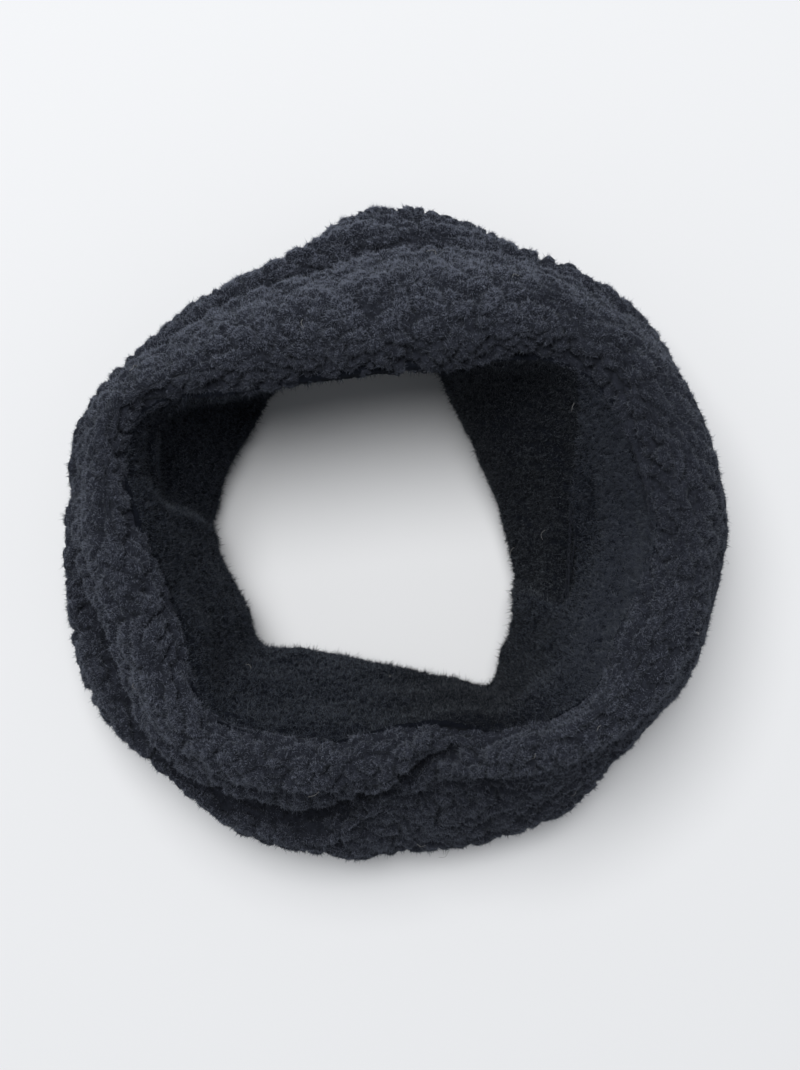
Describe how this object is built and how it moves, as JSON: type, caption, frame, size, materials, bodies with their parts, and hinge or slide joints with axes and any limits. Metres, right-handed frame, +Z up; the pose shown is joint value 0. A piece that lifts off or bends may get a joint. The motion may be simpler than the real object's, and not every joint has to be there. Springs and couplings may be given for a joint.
{
  "type": "neck gaiter",
  "caption": "Dark neck gaiter of curly fleece with a smooth fleece lining, standing slouched in soft folds on one open end.",
  "frame": {"origin": "on the floor under the middle of the standing ring's box", "axes": "+Z up through the neck opening, +Y towards the shell's back seam, +X to the wearer's side where the wall has no crease"},
  "size_m": [0.2274, 0.2331, 0.1073],
  "materials": {
    "curly_fleece": "curly pile, matt",
    "smooth_fleece": "short pile, matt",
    "thread": "spun thread, matt"
  },
  "bodies": {
    "root": {"outer_shell": "curly_fleece", "lining": "smooth_fleece", "back_seam_thread": "thread", "lining_seam_thread": "thread", "top_seam_thread": "thread", "bottom_seam_thread": "thread", "closing_stitches": "thread"}
  },
  "joints": []
}
